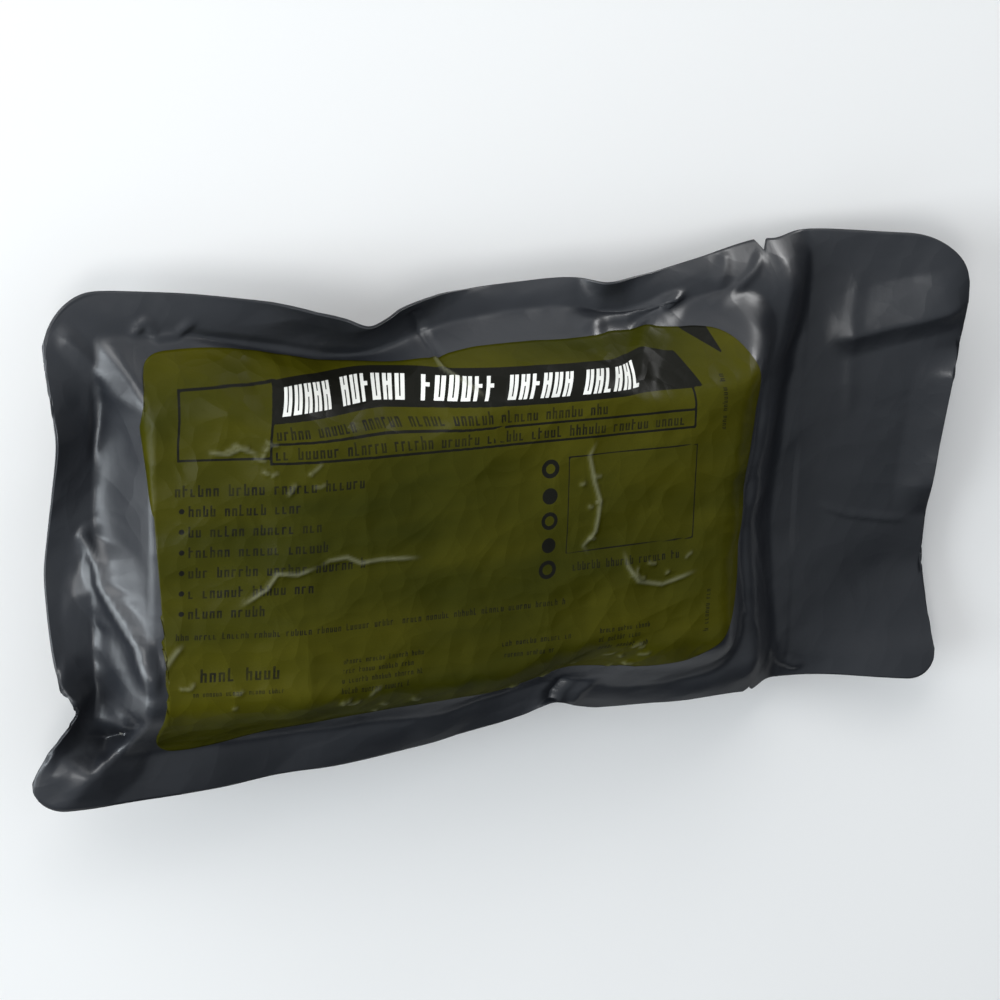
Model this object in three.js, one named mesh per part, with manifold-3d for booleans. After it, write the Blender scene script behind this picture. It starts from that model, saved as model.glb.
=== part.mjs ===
// Vacuum-packed trauma bandage: two laminate films sealed round a rolled bandage, with a label.
// Millimetres. The pack lies on its back: +X runs towards the tear tail, +Y towards the upper
// flange and +Z out of the label. The origin is the middle of the flat back.
import * as THREE from 'three';
import Module from 'manifold-3d';

const wasm = await Module();
wasm.setup();

// Driving sizes of the filled part, measured at the foot of its walls
const packLength = 121;
const packWidth = 69;
const frontDepth = 15;
const backDepth = 16;
const frontCrown = 1.6;
const leftWall = 9;
const rightWall = 15;
const upperWall = 13;
const lowerWall = 14;

// Driving sizes of the sealed border
const endFlange = 8;
const sideFlange = 7;
const tailLength = 39;
const tailDrop = 8.5;
const tailRun = 11;
const curlRun = 28;
const sealRun = 3;
const upperLeftRadius = 11;
const upperRightRadius = 12.5;
const lowerRightRadius = 6;
const lowerLeftRadius = 5;
const notchWidth = 2.5;
const notchDepth = 2;
const upperNotchFromEnd = 40.2;
const lowerNotchFromEnd = 37.7;

// Thin sheets and the gaps between them
const filmThickness = 0.4;
const sealGap = 0.35;
const labelGap = 0.3;
const labelThickness = 0.3;
const labelEndMargin = 6.2;
const labelRightMargin = 11;
const labelUpperMargin = 3.5;
const labelLowerMargin = 6.5;
const bandageGap = 0.4;
const bandageInset = 2.5;

// How the walls leave the flange, and how round the bulge's corners are in plan
const footShare = 0.1;
const cornerPower = 3;

const halfLength = (endFlange + packLength + tailLength) / 2;
const halfWidth = packWidth / 2 + sideFlange;
const packLeft = -halfLength + endFlange;
const packRight = halfLength - tailLength;
const packMiddle = (packLeft + packRight) / 2;
const backPlane = -backDepth - sealGap / 2 - filmThickness;

// The upper flange along the pouch. at: share of halfLength. pull (towards the middle line),
// lift and dent (of the wall's foot): shares of sideFlange.
const upperFlange = [
  { at: -1.0, pull: 0.2, lift: -0.2, dent: 0 },
  { at: -0.9, pull: 0.2, lift: -0.25, dent: 0 },
  { at: -0.82, pull: 0.25, lift: -0.14, dent: 0.1 },
  { at: -0.71, pull: 0.36, lift: 0, dent: 0.2 },
  { at: -0.61, pull: 0.53, lift: 0.21, dent: 0.38 },
  { at: -0.5, pull: 0.81, lift: 0.57, dent: 0.65 },
  { at: -0.44, pull: 1.0, lift: 0.82, dent: 0.8 },
  { at: -0.4, pull: 1.18, lift: 1.0, dent: 0.85 },
  { at: -0.36, pull: 1.1, lift: 0.86, dent: 0.82 },
  { at: -0.3, pull: 0.88, lift: 0.45, dent: 0.65 },
  { at: -0.24, pull: 0.75, lift: 0.1, dent: 0.4 },
  { at: -0.17, pull: 0.71, lift: -0.14, dent: 0.25 },
  { at: -0.04, pull: 0.63, lift: -0.29, dent: 0.1 },
  { at: 0.08, pull: 0.6, lift: -0.14, dent: 0.15 },
  { at: 0.13, pull: 0.7, lift: 0.29, dent: 0.35 },
  { at: 0.21, pull: 0.64, lift: 0, dent: 0.4 },
  { at: 0.29, pull: 0.54, lift: -0.29, dent: 0.25 },
  { at: 0.37, pull: 0.4, lift: -0.45, dent: 0.1 },
  { at: 0.51, pull: 0.13, lift: -0.78, dent: 0 },
  { at: 0.57, pull: 0.12, lift: -0.66, dent: 0 },
  { at: 0.68, pull: 0.04, lift: 0, dent: 0 },
  { at: 0.82, pull: 0.1, lift: 0.15, dent: 0 },
  { at: 1.0, pull: 0.15, lift: 0.1, dent: 0 },
];

// The lower flange, in the same shares
const lowerFlange = [
  { at: -1.0, pull: 0, lift: 0, dent: 0 },
  { at: -0.77, pull: 0.01, lift: -0.07, dent: 0 },
  { at: -0.58, pull: 0.05, lift: -0.14, dent: 0 },
  { at: -0.39, pull: 0.12, lift: -0.29, dent: 0 },
  { at: -0.19, pull: 0.24, lift: -0.43, dent: 0 },
  { at: -0.07, pull: 0.49, lift: -0.29, dent: 0.2 },
  { at: 0.0, pull: 0.68, lift: -0.2, dent: 0.35 },
  { at: 0.06, pull: 0.96, lift: 0, dent: 0.45 },
  { at: 0.14, pull: 0.62, lift: -0.43, dent: 0.3 },
  { at: 0.19, pull: 0.46, lift: -0.55, dent: 0.1 },
  { at: 0.3, pull: 0.42, lift: -0.5, dent: 0 },
  { at: 0.45, pull: 0.42, lift: -0.42, dent: 0 },
  { at: 0.54, pull: 0.3, lift: -0.6, dent: 0 },
  { at: 0.64, pull: 0.26, lift: -0.4, dent: 0 },
  { at: 0.74, pull: 0.3, lift: -0.15, dent: 0 },
  { at: 0.88, pull: 0.22, lift: 0.1, dent: 0 },
  { at: 1.0, pull: 0.1, lift: 0.1, dent: 0 },
];

// The left flange across the pouch. at: share of halfWidth. pull and lift: shares of endFlange.
const leftFlange = [
  { at: -1.0, pull: -0.15, lift: -0.15 },
  { at: -0.87, pull: -0.1, lift: -0.15 },
  { at: -0.77, pull: 0.1, lift: 0 },
  { at: -0.69, pull: 0.25, lift: 0.25 },
  { at: -0.62, pull: 0.36, lift: 0.5 },
  { at: -0.53, pull: 0.4, lift: 0.8 },
  { at: -0.49, pull: 0.22, lift: 0.58 },
  { at: -0.43, pull: 0.16, lift: 0.38 },
  { at: -0.29, pull: 0.13, lift: 0.12 },
  { at: -0.07, pull: 0.1, lift: 0 },
  { at: 0.04, pull: 0.14, lift: 0 },
  { at: 0.28, pull: 0.2, lift: 0.25 },
  { at: 0.46, pull: 0.22, lift: 0.5 },
  { at: 0.62, pull: 0.14, lift: 0.25 },
  { at: 0.77, pull: 0.11, lift: 0 },
  { at: 1.0, pull: 0.2, lift: -0.12 },
];

// How much of the tail's drop is left at its free end. at: share of halfWidth.
const tailCurl = [
  { at: -1.0, left: 0.1 },
  { at: -0.86, left: 0.16 },
  { at: -0.74, left: 0.47 },
  { at: -0.62, left: 0.76 },
  { at: -0.48, left: 1.02 },
  { at: -0.29, left: 1.02 },
  { at: -0.09, left: 0.88 },
  { at: 0.05, left: 0.77 },
  { at: 0.33, left: 0.48 },
  { at: 0.54, left: 0.25 },
  { at: 0.74, left: 0.06 },
  { at: 0.85, left: 0 },
  { at: 1.0, left: 0.05 },
];

// The main creases. x1, x2: shares of halfLength. y1, y2: shares of halfWidth.
// height and width: shares of frontDepth.
const creases = [
  { x1: -0.95, y1: 0.79, x2: -0.84, y2: 0.55, height: 0.07, width: 0.24 },
  { x1: -0.9, y1: -0.02, x2: -0.84, y2: -0.43, height: 0.07, width: 0.24 },
  { x1: -0.83, y1: -0.5, x2: -0.94, y2: -0.92, height: 0.08, width: 0.26 },
  { x1: 0.15, y1: 0.62, x2: 0.29, y2: 0.81, height: 0.07, width: 0.26 },
  { x1: 0.79, y1: 0.55, x2: 0.98, y2: 0.68, height: 0.08, width: 0.26 },
];

// Label margins round the bulge. at: share of the label's length.
// upper and lower: shares of packWidth, measured inwards from the margins.
const labelOutline = [
  { at: 0, upper: 0.14, lower: 0.16 },
  { at: 0.004, upper: 0.07, lower: 0.06 },
  { at: 0.02, upper: 0.02, lower: -0.01 },
  { at: 0.06, upper: 0.005, lower: -0.05 },
  { at: 0.17, upper: 0.015, lower: -0.03 },
  { at: 0.3, upper: 0.05, lower: 0 },
  { at: 0.41, upper: 0.065, lower: 0.01 },
  { at: 0.54, upper: 0.02, lower: 0.02 },
  { at: 0.7, upper: 0.006, lower: 0.025 },
  { at: 0.85, upper: 0.006, lower: 0.04 },
  { at: 0.93, upper: 0.01, lower: 0.08 },
  { at: 0.97, upper: 0.05, lower: 0.17 },
  { at: 0.99, upper: 0.11, lower: 0.26 },
  { at: 1, upper: 0.18, lower: 0.33 },
];

const clamp = THREE.MathUtils.clamp;

// A smooth curve through one column of a table, at a share along it
function along(table, column, at) {
  const last = table.length - 1;
  const x = clamp(at, table[0].at, table[last].at);
  let i = 0;
  while (i < last - 1 && table[i + 1].at <= x) i += 1;
  const slope = (k) => {
    const a = table[Math.max(k - 1, 0)];
    const b = table[Math.min(k + 1, last)];
    return (b[column] - a[column]) / (b.at - a.at);
  };
  const a = table[i];
  const b = table[i + 1];
  const run = b.at - a.at;
  const u = (x - a.at) / run;
  const v = 1 - u;
  return (
    a[column] * (1 + 2 * u) * v * v +
    b[column] * (3 - 2 * u) * u * u +
    run * (slope(i) * u * v * v - slope(i + 1) * u * u * v)
  );
}

// A bend that starts level and then runs on straight past its end
function bend(share) {
  const u = clamp(share, 0, 1.2);
  return (u * u * (3 - u)) / 2;
}

function smooth(share) {
  return THREE.MathUtils.smoothstep(share, 0, 1);
}

function upperFoot(s) {
  return packWidth / 2 - sideFlange * along(upperFlange, 'dent', s / halfLength);
}

function lowerFoot(s) {
  return -packWidth / 2 + sideFlange * along(lowerFlange, 'dent', s / halfLength);
}

// Half width of the flat sheet at s, with its rounded corners and its tear notch
function halfWidthAt(s, leftRadius, rightRadius, notchAt) {
  const radius = s < 0 ? leftRadius : rightRadius;
  const past = clamp((Math.abs(s) - (halfLength - radius)) / radius, 0, 1);
  const notch = notchDepth * clamp(1 - Math.abs(s - notchAt) / (notchWidth / 2), 0, 1);
  return halfWidth - radius + radius * Math.sqrt(1 - past * past) - notch;
}

const upperNotchAt = halfLength - upperNotchFromEnd;
const lowerNotchAt = halfLength - lowerNotchFromEnd;
const upperEdge = (s) => halfWidthAt(s, upperLeftRadius, upperRightRadius, upperNotchAt);
const lowerEdge = (s) => -halfWidthAt(s, lowerLeftRadius, lowerRightRadius, lowerNotchAt);

function creaseHeight(s, t) {
  let height = 0;
  for (const crease of creases) {
    const ax = crease.x1 * halfLength;
    const ay = crease.y1 * halfWidth;
    const dx = crease.x2 * halfLength - ax;
    const dy = crease.y2 * halfWidth - ay;
    const share = clamp(((s - ax) * dx + (t - ay) * dy) / (dx * dx + dy * dy), 0, 1);
    const away = Math.hypot(s - ax - share * dx, t - ay - share * dy);
    const width = crease.width * frontDepth;
    height += crease.height * frontDepth * Math.exp(-((away / width) ** 2));
  }
  return height;
}

// The plane in which the films are sealed, formed: flat sheet (s, t) to its place
function sealPoint(s, t) {
  const share = s / halfLength;
  const across = t / halfWidth;
  const top = upperFoot(s);
  const foot = lowerFoot(s);
  const up = bend((t - top + sealRun) / (halfWidth - top + sealRun));
  const down = bend((foot + sealRun - t) / (halfWidth + foot + sealRun));
  const left = bend((packLeft + sealRun - s) / (endFlange + sealRun));
  const fall = smooth((s - packRight) / tailRun);
  const end = smooth((s - halfLength + curlRun) / curlRun);
  const x = s + endFlange * along(leftFlange, 'pull', across) * left;
  const inward =
    along(upperFlange, 'pull', share) * up - along(lowerFlange, 'pull', share) * down;
  const lift = along(upperFlange, 'lift', share) * up + along(lowerFlange, 'lift', share) * down;
  const z =
    sideFlange * lift +
    endFlange * along(leftFlange, 'lift', across) * left -
    tailDrop * fall * (1 + (along(tailCurl, 'left', across) - 1) * end);
  return new THREE.Vector3(x, t - sideFlange * inward, z);
}

// Share of the full depth to which the bulge has risen at (s, t)
function bulge(s, t) {
  const leftOrRight = Math.min((s - packLeft) / leftWall, (packRight - s) / rightWall);
  const downOrUp = Math.min((t - lowerFoot(s)) / lowerWall, (upperFoot(s) - t) / upperWall);
  const a = 1 - clamp(leftOrRight, 0, 1);
  const b = 1 - clamp(downOrUp, 0, 1);
  const corner = (a ** cornerPower + b ** cornerPower) ** (1 / cornerPower);
  const inside = clamp(1 - corner, 0, 1);
  const eased =
    (Math.hypot(inside, footShare) - footShare) / (Math.hypot(1, footShare) - footShare);
  return 1 - (1 - eased) ** 2;
}

function frontSurface(s, t) {
  const point = sealPoint(s, t);
  const u = clamp((s - packMiddle) / (packLength / 2), -1, 1);
  const v = clamp(t / (packWidth / 2), -1, 1);
  const crown = frontCrown * (1 - u * u) * (1 - v * v);
  point.z += bulge(s, t) * (frontDepth + crown) + creaseHeight(s, t);
  return point;
}

function backSurface(s, t) {
  const point = sealPoint(s, t);
  const risen = bulge(s, t);
  point.z += creaseHeight(s, t) * (1 - risen) - risen * backDepth;
  return point;
}

// A point held off a surface along its normal
function offsetPoint(surface, s, t, distance) {
  const step = 0.01;
  const alongS = surface(s + step, t).sub(surface(s - step, t));
  const alongT = surface(s, t + step).sub(surface(s, t - step));
  const normal = alongS.cross(alongT).normalize();
  return surface(s, t).addScaledVector(normal, distance);
}

// A closed sheet between a lower and an upper surface, over a grid of flat points [s, t]
function closedSheet(grid, upperPoint, lowerPoint) {
  const columns = grid.length;
  const rows = grid[0].length;
  const positions = [];
  const index = [];
  for (const point of [upperPoint, lowerPoint]) {
    for (const column of grid) {
      for (const [s, t] of column) {
        const p = point(s, t);
        positions.push(p.x, p.y, p.z);
      }
    }
  }
  const under = columns * rows;
  const at = (i, j) => i * rows + j;
  for (let i = 0; i < columns - 1; i += 1) {
    for (let j = 0; j < rows - 1; j += 1) {
      const a = at(i, j);
      const b = at(i + 1, j);
      const c = at(i + 1, j + 1);
      const d = at(i, j + 1);
      index.push(a, b, c, a, c, d);
      index.push(under + a, under + c, under + b, under + a, under + d, under + c);
    }
  }
  const rim = (a, b) => index.push(a, under + a, under + b, a, under + b, b);
  for (let i = 0; i < columns - 1; i += 1) {
    rim(at(i, 0), at(i + 1, 0));
    rim(at(i + 1, rows - 1), at(i, rows - 1));
  }
  for (let j = 0; j < rows - 1; j += 1) {
    rim(at(0, j + 1), at(0, j));
    rim(at(columns - 1, j), at(columns - 1, j + 1));
  }
  const geometry = new THREE.BufferGeometry();
  geometry.setAttribute('position', new THREE.Float32BufferAttribute(positions, 3));
  geometry.setIndex(index);
  geometry.computeVertexNormals();
  return geometry;
}

function spread(from, to, steps) {
  return Array.from({ length: steps }, (_, i) => from + ((to - from) * i) / steps);
}

// Stations across a rounded end, closer together towards the end
function roundedEnd(radius, steps) {
  return spread(0, Math.PI / 2, steps).map((angle) => radius * (1 - Math.cos(angle)));
}

const bulgeLeft = packLeft + leftWall;
const bulgeRight = packRight - rightWall;
const beforeNotches = upperNotchAt - notchWidth / 2;
const filmStations = [
  ...roundedEnd(upperLeftRadius, 5).map((d) => -halfLength + d),
  ...spread(-halfLength + upperLeftRadius, bulgeLeft, 3),
  ...spread(bulgeLeft, bulgeRight, 22),
  ...spread(bulgeRight, beforeNotches, 4),
  beforeNotches,
  upperNotchAt,
  upperNotchAt + notchWidth / 2,
  lowerNotchAt,
  lowerNotchAt + notchWidth / 2,
  ...spread(lowerNotchAt + notchWidth, halfLength - upperRightRadius, 5),
  halfLength - upperRightRadius,
  ...roundedEnd(upperRightRadius, 5).map((d) => halfLength - d).reverse(),
];

// The rows of the grid at one station: across the flange, up the wall and over the front
const flangeSteps = 2;
const wallSteps = 4;
const frontSteps = 7;

function rowsAt(s) {
  const foot = lowerFoot(s);
  const top = upperFoot(s);
  const below = [
    ...spread(-halfWidth, foot, flangeSteps),
    ...spread(foot, foot + lowerWall, wallSteps),
  ];
  const above = [
    ...spread(halfWidth, top, flangeSteps),
    ...spread(top, top - upperWall, wallSteps),
  ];
  const across = [...spread(foot + lowerWall, top - upperWall, frontSteps), top - upperWall];
  const edge = (t) => (t < 0 ? -lowerEdge(s) : upperEdge(s));
  return [...below, ...across, ...above.reverse()].map((t) => (t * edge(t)) / halfWidth);
}

const filmGrid = filmStations.map((s) => rowsAt(s).map((t) => [s, t]));
const halfGap = sealGap / 2;

// The part of the film's grid between two stations, leaving out rows along both flanges
function gridWithin(from, to, rowsOff) {
  return filmGrid
    .filter((column) => column[0][0] >= from && column[0][0] <= to)
    .map((column) => column.slice(rowsOff, column.length - rowsOff));
}

function frontFilm() {
  const outer = (s, t) => offsetPoint(frontSurface, s, t, halfGap + filmThickness);
  const inner = (s, t) => offsetPoint(frontSurface, s, t, halfGap);
  return closedSheet(filmGrid, outer, inner);
}

function backFilm() {
  const inner = (s, t) => offsetPoint(backSurface, s, t, -halfGap);
  const outer = (s, t) => offsetPoint(backSurface, s, t, -halfGap - filmThickness);
  return closedSheet(filmGrid, inner, outer);
}

function bandageRoll() {
  const clearance = bandageGap - halfGap;
  const grid = gridWithin(packLeft + bandageInset, packRight - bandageInset, flangeSteps + 1);
  const upper = (s, t) => offsetPoint(frontSurface, s, t, -clearance);
  const lower = (s, t) => offsetPoint(backSurface, s, t, clearance);
  return closedSheet(grid, upper, lower);
}

function solidFrom(geometry) {
  const mesh = new wasm.Mesh({
    numProp: 3,
    vertProperties: new Float32Array(geometry.getAttribute('position').array),
    triVerts: new Uint32Array(geometry.getIndex().array),
  });
  return new wasm.Manifold(mesh);
}

function geometryFrom(solid) {
  const mesh = solid.getMesh();
  const geometry = new THREE.BufferGeometry();
  geometry.setAttribute('position', new THREE.BufferAttribute(mesh.vertProperties, 3));
  geometry.setIndex(new THREE.BufferAttribute(mesh.triVerts, 1));
  geometry.computeVertexNormals();
  return geometry;
}

// The label: a sheet that follows the front film, cut to the label's outline
function label() {
  const left = packLeft + labelEndMargin;
  const length = packLength - labelEndMargin - labelRightMargin;
  const top = packWidth / 2 - labelUpperMargin;
  const bottom = -packWidth / 2 + labelLowerMargin;
  const upperLine = labelOutline.map((row) => [left + row.at * length, top - row.upper * packWidth]);
  const lowerLine = labelOutline.map((row) => [left + row.at * length, bottom + row.lower * packWidth]);
  const outline = new wasm.CrossSection([[...lowerLine, ...upperLine.reverse()]]);
  const cutter = outline.extrude(2 * frontDepth + 2 * frontCrown);
  const under = halfGap + filmThickness + labelGap;
  const outer = (s, t) => offsetPoint(frontSurface, s, t, under + labelThickness);
  const inner = (s, t) => offsetPoint(frontSurface, s, t, under);
  const grid = gridWithin(packLeft, packRight, flangeSteps);
  const sheet = solidFrom(closedSheet(grid, outer, inner));
  return geometryFrom(sheet.intersect(cutter.translate([0, 0, -frontDepth / 2])));
}

const filmFinish = new THREE.MeshStandardMaterial({ color: 0x2b2e31, roughness: 0.32 });
const labelFinish = new THREE.MeshStandardMaterial({ color: 0x45451c, roughness: 0.4 });
const bandageFinish = new THREE.MeshStandardMaterial({ color: 0xd8d4c6, roughness: 0.95 });

const group = new THREE.Group();
const pieces = [
  { name: 'front_film', geometry: frontFilm(), finish: filmFinish },
  { name: 'back_film', geometry: backFilm(), finish: filmFinish },
  { name: 'label', geometry: label(), finish: labelFinish },
  { name: 'bandage_roll', geometry: bandageRoll(), finish: bandageFinish },
];
for (const piece of pieces) {
  const mesh = new THREE.Mesh(piece.geometry, piece.finish);
  mesh.name = piece.name;
  group.add(mesh);
}
group.position.z = -backPlane;

export default group;
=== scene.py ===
"""A vacuum-packed trauma bandage lying on a pale floor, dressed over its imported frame.

Shapes are worked out in millimetres in the frame's axes: +X towards the free tail, +Y towards
the upper flange, +Z out of the label. A point of a film is named by its place (s, t) on the flat
sheet, and then formed.
"""
import math

import bpy
import numpy as np
from mathutils import Matrix, Vector
from mathutils.geometry import delaunay_2d_cdt


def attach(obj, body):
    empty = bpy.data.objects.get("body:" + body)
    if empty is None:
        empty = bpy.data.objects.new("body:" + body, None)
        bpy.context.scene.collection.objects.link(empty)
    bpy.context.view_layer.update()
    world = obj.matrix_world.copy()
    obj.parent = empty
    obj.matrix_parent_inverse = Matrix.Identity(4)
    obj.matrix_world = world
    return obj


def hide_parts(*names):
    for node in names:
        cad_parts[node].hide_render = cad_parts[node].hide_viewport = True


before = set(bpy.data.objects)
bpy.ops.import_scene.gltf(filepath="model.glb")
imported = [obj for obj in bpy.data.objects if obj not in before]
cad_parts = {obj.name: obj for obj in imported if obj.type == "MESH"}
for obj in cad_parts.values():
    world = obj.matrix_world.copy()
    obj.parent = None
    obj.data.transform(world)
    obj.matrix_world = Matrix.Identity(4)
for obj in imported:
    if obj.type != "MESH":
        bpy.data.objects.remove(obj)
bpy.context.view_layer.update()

MM = 0.001
TINY = 1e-6

# Driving sizes of the filled part, at the foot of its walls
PACK_LENGTH = 121.0
PACK_WIDTH = 69.0
FRONT_DEPTH = 15.0
FRONT_CROWN = 1.6
SEAL_HEIGHT = 16.575
LEFT_WALL = 6.2
RIGHT_WALL = 15.0
UPPER_WALL = 13.0
LOWER_WALL = 14.0
FOOT_SHARE = 0.36
LEFT_WALL_STRAIGHT = 0.8
LEFT_END_LOWER = 0.3
LEFT_END_RUN = 24.0
LEFT_END_POWER = 1.2
BACK_LEFT_WALL = 11.5
BACK_WALL_WIDER = 1.15
BACK_CORNER_WALLS = 1.7
CORNER_POWER = 3.0
SHARP_CORNER_POWER = 11.0
SHARP_CORNER_FROM = (-50.0, -6.0)
SHARP_CORNER_RUN = (14.0, 12.0)

# Driving sizes of the sealed border
END_FLANGE = 8.0
SIDE_FLANGE = 7.0
TAIL_LENGTH = 39.0
TAIL_DROP = 8.5
TAIL_RUN = 11.0
CURL_RUN = 28.0
SEAL_RUN = 3.0
LOWER_CORNER_SINKS = 6.0
LOWER_CORNER_FROM = (56.0, -12.0)
LOWER_CORNER_RUN = (28.0, 26.0)
UPPER_LEFT_RADIUS = 11.0
UPPER_RIGHT_RADIUS = 12.5
LOWER_RIGHT_RADIUS = 6.0
LOWER_LEFT_RADIUS = 5.0
NOTCH_WIDTH = 2.5
NOTCH_DEPTH = 2.0

HALF_LENGTH = (END_FLANGE + PACK_LENGTH + TAIL_LENGTH) / 2
HALF_WIDTH = PACK_WIDTH / 2 + SIDE_FLANGE
PACK_LEFT = END_FLANGE - HALF_LENGTH
PACK_RIGHT = HALF_LENGTH - TAIL_LENGTH
UPPER_NOTCH_AT = HALF_LENGTH - 40.2
LOWER_NOTCH_AT = HALF_LENGTH - 37.7

# Thin sheets
FILM = 0.2
SEAL_GAP = 0.06
LABEL = 0.1
LABEL_GAP = 0.08
BACK_DEPTH = SEAL_HEIGHT - SEAL_GAP / 2 - FILM

ROLL_GAP = 1.5
ROLL_INSET = 4.5
ROLL_EDGE = 0.8

# Mesh cells
FILM_CELL = 0.46
LABEL_CELL = 0.31
ROLL_CELL = 1.2
CORNER_STEPS = 6
LABEL_ENDS_FROM = 0.12
LABEL_ENDS_FINER = 0.35

# Made forms: how far a flange's bend runs on, and the noises' reach, turn and warp
BEND_RUNS_ON = 1.2
WANDER_REACH = 200
WANDER_SPAN = 420
CRUMPLE_REACH = 220
CRUMPLE_SPAN = 460
CRUMPLE_TURN = 0.7
CRUMPLE_WARP = 0.55
CRUMPLE_WARP_CELL = 1.7
CRUMPLE_SEED_STEP = 31

# The upper flange: share of the half length, then pull, lift and dent as shares of the flange
UPPER_FLANGE = np.array([
    (-1.00, 0.20, -0.20, 0.00),
    (-0.90, 0.20, -0.25, 0.00),
    (-0.82, 0.25, -0.14, 0.10),
    (-0.71, 0.36, 0.00, 0.20),
    (-0.61, 0.53, 0.21, 0.38),
    (-0.50, 0.81, 0.57, 0.65),
    (-0.44, 1.00, 0.82, 0.80),
    (-0.40, 1.18, 1.00, 0.85),
    (-0.36, 1.10, 0.86, 0.82),
    (-0.30, 0.88, 0.45, 0.65),
    (-0.24, 0.75, 0.10, 0.40),
    (-0.17, 0.71, -0.14, 0.25),
    (-0.04, 0.63, -0.29, 0.10),
    (0.08, 0.60, -0.14, 0.15),
    (0.13, 0.70, 0.29, 0.35),
    (0.21, 0.64, 0.00, 0.40),
    (0.29, 0.54, -0.29, 0.25),
    (0.37, 0.40, -0.45, 0.10),
    (0.51, 0.13, -0.78, 0.00),
    (0.57, 0.12, -0.66, 0.00),
    (0.68, 0.04, 0.00, 0.00),
    (0.82, 0.10, 0.15, 0.00),
    (1.00, 0.15, 0.10, 0.00),
])

# The lower flange, in the same columns
LOWER_FLANGE = np.array([
    (-1.00, 0.00, 0.00, 0.00),
    (-0.77, 0.01, -0.07, 0.00),
    (-0.58, 0.05, -0.14, 0.00),
    (-0.39, 0.12, -0.29, 0.00),
    (-0.19, 0.24, -0.43, 0.00),
    (-0.07, 0.49, -0.29, 0.20),
    (0.00, 0.68, -0.20, 0.35),
    (0.06, 0.96, 0.00, 0.45),
    (0.14, 0.62, -0.43, 0.30),
    (0.19, 0.46, -0.55, 0.10),
    (0.30, 0.42, -0.50, 0.00),
    (0.45, 0.42, -0.42, 0.00),
    (0.54, 0.30, -0.60, 0.00),
    (0.64, 0.26, -0.40, 0.00),
    (0.74, 0.30, -0.15, 0.00),
    (0.88, 0.22, 0.10, 0.00),
    (1.00, 0.10, 0.10, 0.00),
])

# The left flange: share of the half width, then pull and lift as shares of the end flange
LEFT_FLANGE = np.array([
    (-1.00, -0.15, -0.15),
    (-0.87, -0.10, -0.15),
    (-0.77, 0.10, 0.00),
    (-0.69, 0.25, 0.25),
    (-0.62, 0.36, 0.50),
    (-0.53, 0.40, 0.80),
    (-0.49, 0.22, 0.58),
    (-0.43, 0.16, 0.38),
    (-0.29, 0.13, 0.12),
    (-0.07, 0.10, 0.00),
    (0.04, 0.14, 0.00),
    (0.28, 0.20, 0.25),
    (0.46, 0.22, 0.50),
    (0.62, 0.14, 0.25),
    (0.77, 0.11, 0.00),
    (1.00, 0.20, -0.12),
])

# The tail's free end: share of the half width, then how much of the drop is left there
TAIL_CURL = np.array([
    (-1.00, 0.10),
    (-0.86, 0.16),
    (-0.74, 0.47),
    (-0.62, 0.76),
    (-0.48, 1.02),
    (-0.29, 1.02),
    (-0.09, 0.88),
    (0.05, 0.77),
    (0.33, 0.48),
    (0.54, 0.25),
    (0.74, 0.06),
    (0.85, 0.00),
    (1.00, 0.05),
])

# The valley before the tail: share of the half width, then how far it lies to the right, in mm
VALLEY = np.array([
    (-1.00, 0.0),
    (-0.88, -1.4),
    (-0.50, -3.2),
    (-0.20, -4.0),
    (0.10, -3.2),
    (0.45, -1.4),
    (0.70, 0.6),
    (0.85, 1.2),
    (1.00, 0.0),
])

PULL, LIFT, DENT = 1, 2, 3
LEFT_OVER = 1
SHIFT = 1

# The label's outline: share of its length, then how far its upper and lower edges stand in,
# as shares of the pack's width
LABEL_LEFT = PACK_LEFT + 7.0
LABEL_RIGHT = PACK_RIGHT - 11.0
LABEL_LEAN = 3.4
LABEL_LEAN_POWER = 6
LABEL_LEANS_ABOUT = 0.45
LABEL_TOP = PACK_WIDTH / 2 - 3.5
LABEL_BOTTOM = -PACK_WIDTH / 2 + 6.5
LABEL_OUTLINE = np.array([
    (0.000, 0.14, 0.10),
    (0.004, 0.07, 0.01),
    (0.020, 0.02, -0.055),
    (0.060, 0.005, -0.08),
    (0.170, 0.015, -0.06),
    (0.300, 0.05, -0.02),
    (0.410, 0.065, 0.01),
    (0.540, 0.035, 0.02),
    (0.700, 0.030, 0.025),
    (0.850, 0.036, 0.04),
    (0.930, 0.03, 0.08),
    (0.970, 0.05, 0.17),
    (0.990, 0.11, 0.26),
    (1.000, 0.18, 0.33),
])
UPPER_EDGE, LOWER_EDGE = 1, 2


def along(table, column, at):
    """A smooth curve through one column of a table."""
    x = table[:, 0]
    y = table[:, column]
    slope = np.gradient(y)
    slope[1:-1] = (y[2:] - y[:-2]) / (x[2:] - x[:-2])
    slope[0] = (y[1] - y[0]) / (x[1] - x[0])
    slope[-1] = (y[-1] - y[-2]) / (x[-1] - x[-2])
    at = np.clip(at, x[0], x[-1])
    i = np.clip(np.searchsorted(x, at, side="right") - 1, 0, len(x) - 2)
    run = x[i + 1] - x[i]
    u = (at - x[i]) / run
    v = 1 - u
    ends = y[i] * (1 + 2 * u) * v * v + y[i + 1] * (3 - 2 * u) * u * u
    return ends + run * (slope[i] * u * v * v - slope[i + 1] * u * u * v)


def smooth(share):
    share = np.clip(share, 0, 1)
    return share * share * (3 - 2 * share)


def bend(share):
    """Starts level and runs on straight past its end."""
    share = np.clip(share, 0, BEND_RUNS_ON)
    return share * share * (3 - share) / 2


def pack_right(t):
    return PACK_RIGHT + along(VALLEY, SHIFT, t / HALF_WIDTH)


def upper_foot(s):
    return PACK_WIDTH / 2 - SIDE_FLANGE * along(UPPER_FLANGE, DENT, s / HALF_LENGTH)


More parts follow.
